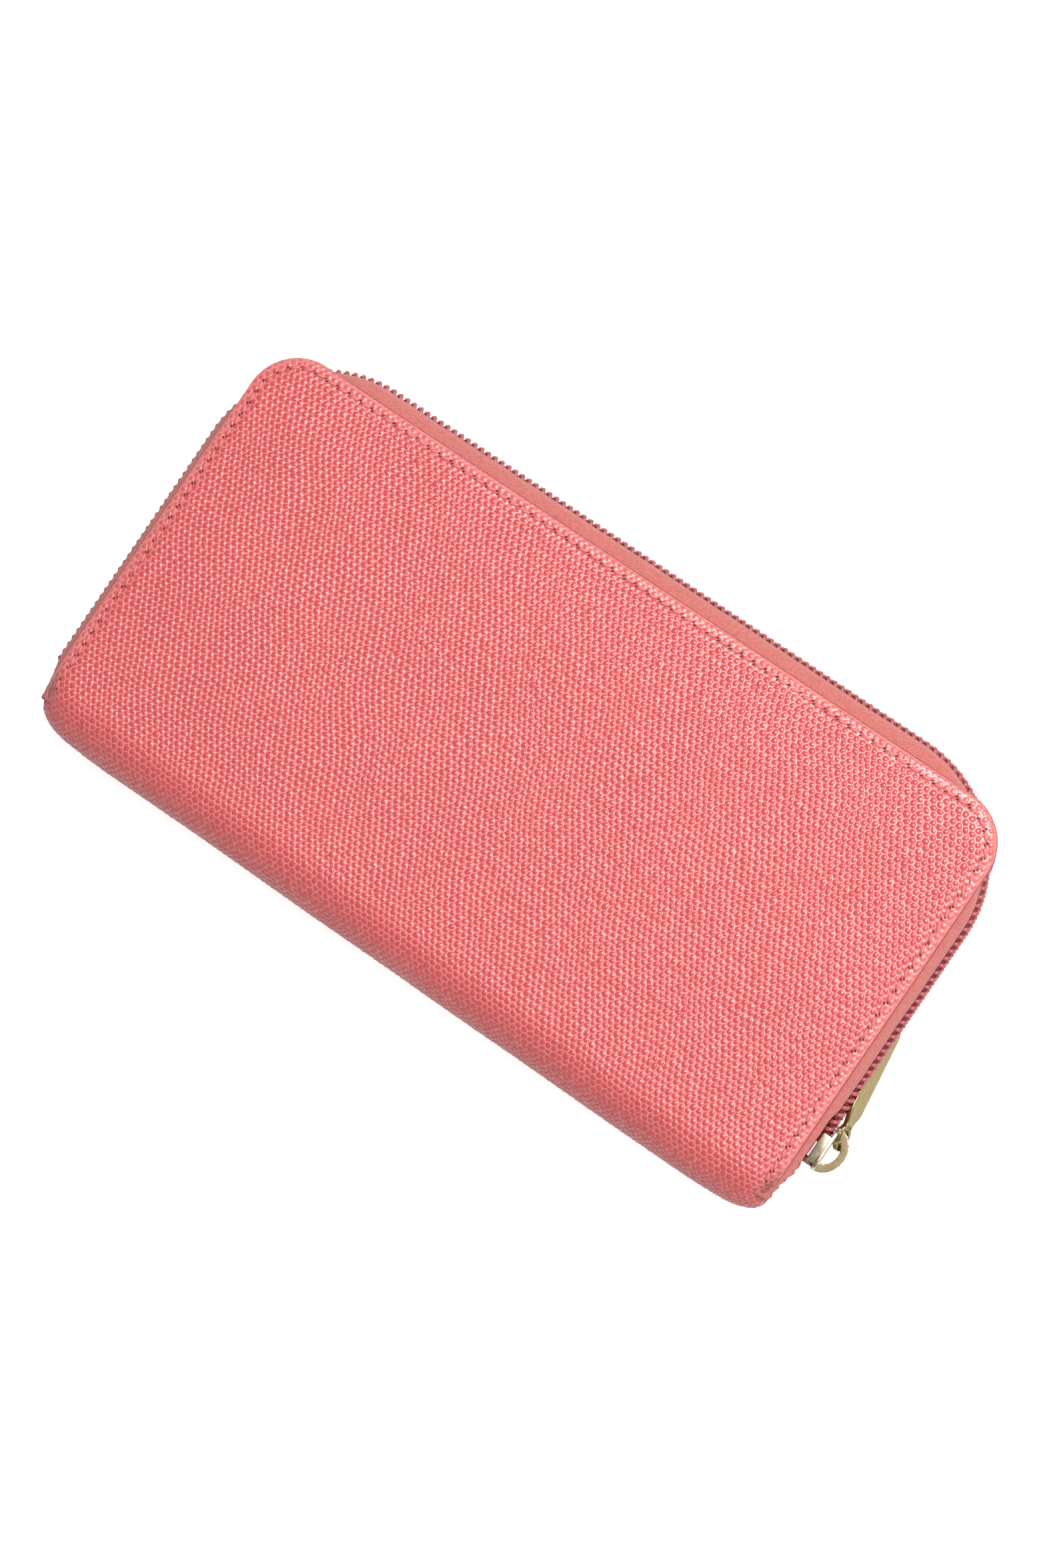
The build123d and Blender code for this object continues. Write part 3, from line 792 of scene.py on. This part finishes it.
# %% [markdown]
# At each end of the spine the lining is folded in and glued down, so the tube of leather is
# closed by a small pad of leather. It is a ball squeezed flat, just behind the spine's axis.
# %% Folded ends in the spine
PAD_RADII = (2.2, 6.8, 7.2)
PAD_INSET = 4.2
for sign, hand in ((-1, "left"), (1, "right")):
    bm = bmesh.new()
    centre = Matrix.Translation((sign * (HALF_LENGTH - PAD_INSET), SPINE_Y - 1.2, MIDDLE))
    pad = centre @ Matrix.Diagonal((*PAD_RADII, 1))
    bmesh.ops.create_uvsphere(bm, u_segments=40, v_segments=24, radius=1, matrix=pad)
    for vert in bm.verts:
        vert.co.x += 0.25 * noise.noise(vert.co * 0.6)
    finish_piece(f"spine_end_{hand}", bm, [inner_leather], "centre", "lining_fabric")

# %% [markdown]
# ## Slider and puller
# The slider is two plates that hold the chain between them, with low walls at the sides and a
# wedge at the mouth. On top stands the crown, an arch that the puller's eye goes round.
# It is built with its length along X, its width along Y and its outside up, and then turned to
# the wallet's end. The plates start as cubes whose corners are bevelled and whose ends taper.
# %% Slider parts


def bevel_all(bm, geometry, offset, segments):
    bmesh.ops.bevel(
        bm, geom=geometry, offset=offset, segments=segments, profile=0.5, affect="EDGES",
        material=-1, clamp_overlap=True,
    )


def rims_of(bm, axis):
    """Edges where a face square to an axis meets another one."""
    bm.normal_update()
    rims = []
    for edge in bm.edges:
        square = [abs(face.normal[axis]) > 0.9 for face in edge.link_faces]
        if len(square) == 2 and square[0] != square[1]:
            rims.append(edge)
    return rims


def sharp_edges(bm, angle):
    """Edges whose two faces turn by more than an angle."""
    pairs = [edge for edge in bm.edges if len(edge.link_faces) == 2]
    return [edge for edge in pairs if edge.calc_face_angle(0) > angle]


def add_block(bm, size, centre, corners=0.0, taper=0.0, soften=0.0):
    """Adds a block whose plan has rounded corners and whose rims are softened."""
    part = bmesh.new()
    bmesh.ops.create_cube(part, size=1, matrix=Matrix.Diagonal((*size, 1)))
    if corners:
        upright = [e for e in part.edges if abs(e.verts[0].co.z - e.verts[1].co.z) > size[2] / 2]
        bevel_all(part, upright, corners, 5)
    if soften:
        bevel_all(part, rims_of(part, 2), soften, 3)
    for vert in part.verts:
        vert.co.y *= 1 - taper * smoothstep(-size[0] / 2, size[0] / 2, vert.co.x)
        vert.co += Vector(centre)
    join(bm, part)


def add_crown(bm, long, high, bar, half_wide, seat):
    """The arch: a bar spun half a turn and squeezed to an ellipse. Its sides stay matte."""
    part = bmesh.new()
    section = Matrix.Translation((1 - bar / 2, 0, 0)) @ Matrix.Diagonal((bar, 2 * half_wide, 1, 1))
    bmesh.ops.create_grid(part, x_segments=1, y_segments=1, size=0.5, matrix=section)
    bmesh.ops.spin(
        part, geom=part.verts[:] + part.edges[:] + part.faces[:], cent=(0, 0, 0),
        axis=(0, -1, 0), angle=math.pi, steps=28,
    )
    bmesh.ops.recalc_face_normals(part, faces=part.faces)
    for face in part.faces:
        if abs(face.normal.y) > 0.9:
            face.material_index = 1
    bevel_all(part, rims_of(part, 1), 0.06, 3)
    for vert in part.verts:
        vert.co.x *= long
        vert.co.z = seat + vert.co.z * high
    join(bm, part)


# %% Build and place the sliders
gold = [polished_gold, matte_gold]
SLIDER_LENGTH = 11.0
SLIDER_MOUTH = 9.0
SLIDER_PLATE = 1.0


def place_frame(origin, along, out):
    """Matrix that puts a part's X along the chain and its Z outwards."""
    across = Vector(out).cross(Vector(along))
    turn = Matrix((Vector(along), across, Vector(out))).transposed().to_4x4()
    return Matrix.Translation(origin) @ turn


def make_slider(name, node, scale, floor, roof, origin, along, out, body):
    bm = bmesh.new()
    length, mouth, plate = SLIDER_LENGTH * scale, SLIDER_MOUTH * scale, SLIDER_PLATE * scale
    for level in (roof + plate / 2, floor - plate / 2):
        add_block(bm, (length, mouth, plate), (0, 0, level), 2.6 * scale, 0.24, 0.3 * scale)
    wall = (roof - 0.35 * scale) * 0.85
    for hand in (-1, 1):
        add_block(
            bm, (length * 0.62, 1.0 * scale, wall + 0.3 * scale),
            (-0.6 * scale, hand * (mouth / 2 - 0.85 * scale), roof - wall / 2 + 0.15 * scale),
            0.3 * scale, 0.1, 0.2 * scale,
        )
    wedge = (1.6 * scale, 0.5, roof - floor)
    add_block(bm, wedge, (-length / 2 + 1.2 * scale, 0, (roof + floor) / 2))
    add_crown(bm, 5.4 * scale, 4.6 * scale, 0.36, 1.0 * scale, roof + plate * 0.5)
    bmesh.ops.transform(bm, matrix=place_frame(origin, along, out), verts=bm.verts)
    return finish_piece(name, bm, gold, body, "gold_metal", replaces=(node,))


make_slider(
    "main_zip_slider", "zip_slider", 1.0, -0.85, 2.45, (CHAIN_X, slider_y, MIDDLE),
    (0, 1, 0), (1, 0, 0), "main_slider",
)

# %% [markdown]
# The puller starts as a narrow neck at its eye and widens to a flat tab. A grid gives its plan,
# an extrusion its thickness, and the eye is a ring with a square section.
# %% Pullers


def puller_half_width(x, neck, shoulder, narrow, wide, reach):
    width = narrow + (wide - narrow) * smoothstep(neck, shoulder, x)
    return width * (1 - 0.35 * smoothstep(reach - wide * 0.9, reach, x) ** 2)


def make_puller(name, node, origin, along, out, reach, tab, narrow, thick, eye, scale, body):
    bm = bmesh.new()
    neck, shoulder = eye + 0.9 * scale, eye + 4.4 * scale
    bmesh.ops.create_grid(bm, x_segments=36, y_segments=6, size=0.5)
    for vert in bm.verts:
        x = eye + (vert.co.x + 0.5) * (reach - eye)
        vert.co.x = x
        vert.co.y *= 2 * puller_half_width(x, neck, shoulder, narrow, tab, reach)
    bmesh.ops.solidify(bm, geom=bm.faces[:], thickness=thick)
    bmesh.ops.translate(bm, verts=bm.verts, vec=(0, 0, -thick / 2))
    bm.normal_update()
    middle_z = sum(vert.co.z for vert in bm.verts) / len(bm.verts)
    bmesh.ops.translate(bm, verts=bm.verts, vec=(0, 0, -middle_z))
    bevel_all(bm, sharp_edges(bm, 0.6), 0.22 * scale, 3)
    ring = bmesh.new()
    half = 2.1 * scale
    upright = Matrix.Translation((half, 0, 0)) @ Matrix.Rotation(math.pi / 2, 4, "X")
    section = upright @ Matrix.Diagonal((1.1 * scale, 1.2 * scale, 1, 1))
    bmesh.ops.create_grid(ring, x_segments=1, y_segments=1, size=0.5, matrix=section)
    bmesh.ops.spin(
        ring, geom=ring.verts[:] + ring.edges[:] + ring.faces[:], cent=(0, 0, 0), axis=(0, 0, 1),
        angle=2 * math.pi, steps=28, use_merge=True,
    )
    long = (eye + 0.6 * scale) / 2
    for vert in ring.verts:
        vert.co.x = long + vert.co.x * (long + 0.1 * scale) / (half + 0.3 * scale)
    bmesh.ops.recalc_face_normals(ring, faces=ring.faces)
    bevel_all(ring, sharp_edges(ring, 1.0), 0.25 * scale, 3)
    join(bm, ring)
    bmesh.ops.recalc_face_normals(bm, faces=bm.faces)
    bmesh.ops.transform(bm, matrix=place_frame(origin, along, out), verts=bm.verts)
    return finish_piece(name, bm, [aged_gold, matte_gold], body, "gold_metal", replaces=(node,))


def leaned(along, out, lean, droop, roll):
    """The puller's own directions: leaned in to the chain, drooped sideways and rolled."""
    along, out = Vector(along), Vector(out)
    a = along * math.cos(lean) - out * math.sin(lean)
    o = out * math.cos(lean) + along * math.sin(lean)
    across = o.cross(a)
    a = a * math.cos(droop) - across * math.sin(droop)
    return a, Matrix.Rotation(roll, 3, a) @ o


LEAN, DROOP, ROLLED = math.radians(8), math.radians(11), math.radians(-25)
puller_along, puller_out = leaned((0, 1, 0), (1, 0, 0), LEAN, DROOP, ROLLED)
make_puller(
    "main_zip_puller", "zip_puller", (CHAIN_X + 4.75, slider_y + 1.2, MIDDLE),
    puller_along, puller_out, 30.0, 2.9, 1.5, 1.2, 4.9, 1.0, "main_puller",
)

# %% [markdown]
# ## Inside: lining and card pockets
# The lining is a thin sheet of twill. The card pockets are sheets of smooth leather, one behind
# the other, each with its top edge folded and stitched, and one seam up the middle. A front
# piece is made as a back piece, and then mirrored.
# %% Leather sheets with softened edges


def box_as_back(end, node):
    """A node's box in millimetres, with a front node's box mirrored to the back."""
    low, high = cad_box_mm(node)
    if end == "front":
        low.z, high.z = 2 * MIDDLE - high.z, 2 * MIDDLE - low.z
    return low, high


def sheet_outline(bm, half, low, high, level, thick, corner):
    """A flat sheet between two heights in y, softened at its rims."""
    part = bmesh.new()
    size = (2 * half, high - low, thick)
    bmesh.ops.create_cube(part, size=1, matrix=Matrix.Diagonal((*size, 1)))
    upright = [e for e in part.edges if abs(e.verts[0].co.z - e.verts[1].co.z) > thick / 2]
    upper = [e for e in upright if e.verts[0].co.y > 0]
    bevel_all(part, upper, corner, 8)
    bevel_all(part, rims_of(part, 2), thick * 0.35, 2)
    bmesh.ops.translate(part, verts=part.verts, vec=(0, (low + high) / 2, level + thick / 2))
    join(bm, part)


def straight_stitches(bm, start, end, level):
    """A row of stitches in a straight line on a flat sheet."""
    pitch = 2.6
    run = Vector(end) - Vector(start)
    count = max(int(run.length / pitch), 1)
    turned = Matrix.Rotation(math.atan2(run.y, run.x), 4, "Z")
    for n in range(count):
        spot = Vector(start) + run * ((n + 0.5) / count)
        made = bmesh.ops.create_uvsphere(
            bm, u_segments=6, v_segments=4, radius=1,
            matrix=Matrix.Translation((spot.x, spot.y, level)) @ turned
            @ Matrix.Diagonal((pitch * 0.4, 0.2, 0.14, 1)),
        )
        for face in {face for vert in made["verts"] for face in vert.link_faces}:
            face.material_index = 1


def mirror_to_front(bm):
    for vert in bm.verts:
        vert.co.z = 2 * MIDDLE - vert.co.z
    bmesh.ops.reverse_faces(bm, faces=bm.faces)


inside_finishes = [inner_leather, sewing_thread]
for end in ("back", "front"):
    body = f"{end}_half"
    for node in [f"{end}_card_base"] + [f"{end}_card_pocket_{n}" for n in (1, 2, 3, 4)]:
        low, high = box_as_back(end, node)
        bm = bmesh.new()
        base = node.endswith("base")
        sheet_outline(bm, high.x, low.y, high.y, low.z, high.z - low.z, 12.0 if base else 1.5)
        top = high.z + 0.02
        straight_stitches(bm, (-high.x + 3, high.y - 2.2), (high.x - 3, high.y - 2.2), top)
        if not base:
            straight_stitches(bm, (0, high.y - 12), (0, high.y - 2.2), top)
        if end == "front":
            mirror_to_front(bm)
        finish_piece(
            node + "_leather", bm, inside_finishes, body, "inner_leather", replaces=(node,),
        )

# %% Cloth linings
for end in ("back", "front"):
    low, high = box_as_back(end, f"{end}_lining")
    bm = bmesh.new()
    sheet_outline(bm, high.x - 3, low.y, high.y - 2.5, low.z, high.z - low.z, 9.0)
    if end == "front":
        mirror_to_front(bm)
    finish_piece(
        f"{end}_lining_cloth", bm, [lining_cloth], f"{end}_half", "lining_fabric",
        replaces=(f"{end}_lining",),
    )
SPINE_LINING_LENGTH = 176
low, high = cad_box_mm("spine_lining")
bm = bmesh.new()
bmesh.ops.create_grid(bm, x_segments=60, y_segments=12, size=0.5)
for vert in bm.verts:
    angle = vert.co.y * 2 * math.asin((high.z - MIDDLE) / (SPINE_Y - low.y))
    radius = SPINE_Y - low.y - 0.35
    x = vert.co.x * SPINE_LINING_LENGTH
    vert.co = (x, SPINE_Y - radius * math.cos(angle), MIDDLE + radius * math.sin(angle))
bmesh.ops.solidify(bm, geom=bm.faces[:], thickness=0.5)
bmesh.ops.recalc_face_normals(bm, faces=bm.faces)
finish_piece(
    "spine_lining_cloth", bm, [lining_cloth], "centre", "lining_fabric",
    replaces=("spine_lining",),
)

# %% [markdown]
# ## The coin pocket
# Two leather walls are joined by a narrow band round three sides, and closed by a small zip
# along the top. The zip is made like the main one, only straight and smaller.
# %% Pocket walls and band
pocket_low, pocket_high = cad_box_mm("coin_pocket_back_wall")
leaf_half, leaf_foot, leaf_top = pocket_high.x, pocket_low.y, pocket_high.y
pocket_wall = pocket_high.z - pocket_low.z
seam_x, seam_foot, seam_top = leaf_half - 3, leaf_foot + 6, leaf_top - 3
for end in ("back", "front"):
    bm = bmesh.new()
    sheet_outline(bm, leaf_half, leaf_foot, leaf_top, pocket_low.z, pocket_wall, 1.5)
    under = pocket_low.z - 0.02
    straight_stitches(bm, (-seam_x, seam_foot), (-seam_x, seam_top), under)
    straight_stitches(bm, (seam_x, seam_foot), (seam_x, seam_top), under)
    straight_stitches(bm, (-seam_x, seam_top), (seam_x, seam_top), under)
    if end == "front":
        mirror_to_front(bm)
    finish_piece(
        f"coin_pocket_{end}_leather", bm, inside_finishes, "centre", "inner_leather",
        replaces=(f"coin_pocket_{end}_wall",),
    )

# %% Coin zip
coin_low, coin_high = cad_box_mm("back_coin_zip_coil")
coin_y = coin_low.y
COIN_PITCH = 1.3
COIN_COIL_OUT = 0.7
COIN_TAPE_PROFILE = (
    (-6.0, 3.15), (-2.0, 3.15), (-0.5, 2.9), (-0.15, 2.2), (-0.2, 1.3), (-0.2, 0.7),
)
for end, side in (("back", -1), ("front", 1)):
    tape_end = cad_box_mm(f"{end}_coin_zip_tape")[1].x
    bm = bmesh.new()
    bmesh.ops.create_grid(bm, x_segments=120, y_segments=10, size=0.5)
    for vert in bm.verts:
        up, wide = on_profile(vert.co.y + 0.5, COIN_TAPE_PROFILE)
        vert.co = (vert.co.x * 2 * tape_end, coin_y + up, MIDDLE + side * wide)
    bmesh.ops.recalc_face_normals(bm, faces=bm.faces)
    piece = finish_piece(
        f"{end}_coin_zip_cloth", bm, [zip_tape_cloth], "centre", "zip_tape",
        replaces=(f"{end}_coin_zip_tape",),
    )
    thicken_cloth(piece, 0)
    turns = int((coin_high.x - coin_low.x) / COIN_PITCH)
    bm = coil_turns(turns, COIN_PITCH, 0.26, COIN_COIL_OUT, 0.95)
    for vert in bm.verts:
        vert.co.x += coin_low.x + (side < 0) * COIN_PITCH / 2
        vert.co.y += coin_y + COIN_COIL_OUT
        vert.co.z += MIDDLE + side * 0.75
    bmesh.ops.recalc_face_normals(bm, faces=bm.faces)
    finish_piece(
        f"{end}_coin_coil", bm, [coil_nylon], "centre", "zip_coil",
        replaces=(f"{end}_coin_zip_coil",),
    )
COIN_SCALE = 0.55
coin_slider_low, coin_slider_high = cad_box_mm("coin_zip_slider")
coin_slider_x = (coin_slider_low.x + coin_slider_high.x) / 2
make_slider(
    "coin_slider_body", "coin_zip_slider", COIN_SCALE, -0.75, 1.65, (coin_slider_x, coin_y, MIDDLE),
    (-1, 0, 0), (0, 1, 0), "coin_slider",
)
make_puller(
    "coin_puller_tab", "coin_zip_puller", (coin_slider_x - 0.66, coin_y + 2.915, MIDDLE),
    (-1, 0, 0), (0, 1, 0), 13.0, 1.7, 0.83, 0.7, 2.7, COIN_SCALE, "coin_puller",
)

# %% [markdown]
# ## Gussets
# A folded wall of lining leather joins each end of the coin pocket to each cover, so that
# nothing falls out at the sides when the wallet is open. It is a grid with one deep pleat, shaped
# to run between the cover and the leaf.
# %% Pleated gussets
GUSSET_BEND = 1.6
for end in ("back", "front"):
    for hand, sign in (("left", -1), ("right", 1)):
        node = f"{end}_gusset_{hand}"
        low, high = box_as_back(end, node)
        outer, inner = max(abs(low.x), abs(high.x)), min(abs(low.x), abs(high.x))
        fold = (
            (outer, low.z + 0.1), (outer, high.z - 1.5), (inner + 3, high.z - 1.15),
            (inner, high.z - 0.9), (inner + 3, high.z - 0.55), (leaf_half - 1, high.z - 0.15),
        )
        bm = bmesh.new()
        bmesh.ops.create_grid(bm, x_segments=30, y_segments=30, size=0.5)
        for vert in bm.verts:
            across, level = on_profile(vert.co.y + 0.5, fold)
            y = low.y + (vert.co.x + 0.5) * (high.y - low.y)
            vert.co = (sign * across, y, level)
        if end == "front":
            mirror_to_front(bm)
            start = 2 * MIDDLE - high.z
            bodies = ("centre", "front_half")
        else:
            start = high.z - GUSSET_BEND
            bodies = ("back_half", "centre")
        stop = start + GUSSET_BEND
        bmesh.ops.recalc_face_normals(bm, faces=bm.faces)
        finish_piece(
            node + "_leather", bm, [inner_leather], None, "lining_fabric", replaces=(node,),
            blend=(*bodies, (0, 0, start * MM), (0, 0, stop * MM)),
        )

# %% [markdown]
# ## Finishes for the CAD nodes that still show
# The boards, the pocket's band and the hem are shown as they come from the CAD model, with a
# finish that is worked from object coordinates, so that nothing slides.
# %% Finish the remaining nodes
cad_finishes = {"board": grey_board, "band": inner_leather, "hem": lining_cloth}
for name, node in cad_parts.items():
    for word, material in cad_finishes.items():
        if word in name and not node.hide_render:
            node.data.materials.clear()
            node.data.materials.append(material)

# %% [markdown]
# ## Floor, light and camera
# The wallet lies on a plain white table. One large soft lamp stands high at the zip's side, a
# weaker one at the zip slider's end, and the world fills in. The camera looks down from about
# 70 cm away.
# %% Floor
FLOOR_SIZE = 3.0
FLOOR_DROP = 0.0006
floor_mesh = bmesh.new()
bmesh.ops.create_grid(floor_mesh, x_segments=1, y_segments=1, size=FLOOR_SIZE)
floor_data = bpy.data.meshes.new("table_top")
floor_mesh.to_mesh(floor_data)
floor_mesh.free()
floor = bpy.data.objects.new("table_top", floor_data)
floor.location.z = -FLOOR_DROP
bpy.context.collection.objects.link(floor)
floor_finish, tree, shader, _ = new_material("white table")
shader.inputs["Base Color"].default_value = colour("#F4F4F4")
shader.inputs["Roughness"].default_value = 0.9
rays = add_node(tree, "ShaderNodeLightPath")
glow_strength = add_node(
    tree, "ShaderNodeMath", {"operation": "MULTIPLY", 1: 0.7}, _0=rays.outputs["Is Camera Ray"]
)
glow = add_node(tree, "ShaderNodeEmission", Strength=glow_strength.outputs[0])
both = add_node(tree, "ShaderNodeAddShader", _0=shader.outputs[0], _1=glow.outputs[0])
tree.links.new(both.outputs[0], tree.nodes["Material Output"].inputs["Surface"])
floor_data.materials.append(floor_finish)

# %% Lamps and world


def add_lamp(name, place, target, size, power):
    lamp = bpy.data.lights.new(name, "AREA")
    lamp.shape = "RECTANGLE"
    lamp.size, lamp.size_y = size
    lamp.energy = power
    holder = bpy.data.objects.new(name, lamp)
    holder.location = place
    holder.rotation_euler = (Vector(target) - Vector(place)).to_track_quat("-Z", "Y").to_euler()
    bpy.context.collection.objects.link(holder)


add_lamp("key_softbox", (0.22, 0.42, 1.0), (0, 0, 0), (0.55, 0.55), 12.2)
add_lamp("fill_softbox", (0.8, -0.2, 0.8), (0, 0, 0), (0.7, 0.7), 2.0)
world = bpy.data.worlds.new("studio")
bpy.context.scene.world = world
world.use_nodes = True
background = world.node_tree.nodes["Background"]
background.inputs["Color"].default_value = (1, 1, 1, 1)
background.inputs["Strength"].default_value = 0.3

# %% Camera
CAMERA_TURN = (-5.133, -7.577, -34.556)
CAMERA_PLACE = Vector((0.0, 1.1, -709.7)) * MM
FRAME_HEIGHT = 36.0
LENS_LENGTH = 72.7653
turn = Matrix.Identity(3)
for degrees, axis in zip(CAMERA_TURN, "XYZ"):
    turn = turn @ Matrix.Rotation(math.radians(degrees), 3, axis)
camera_data = bpy.data.cameras.new("camera")
camera_data.sensor_fit = "VERTICAL"
camera_data.sensor_height = FRAME_HEIGHT
camera_data.lens = LENS_LENGTH
camera_data.clip_start = 0.01
camera = bpy.data.objects.new("camera", camera_data)
back = turn.transposed()
camera.matrix_world = Matrix.Translation(-(back @ CAMERA_PLACE)) @ back.to_4x4()
bpy.context.collection.objects.link(camera)
bpy.context.scene.camera = camera
bpy.context.scene.view_settings.view_transform = "Standard"
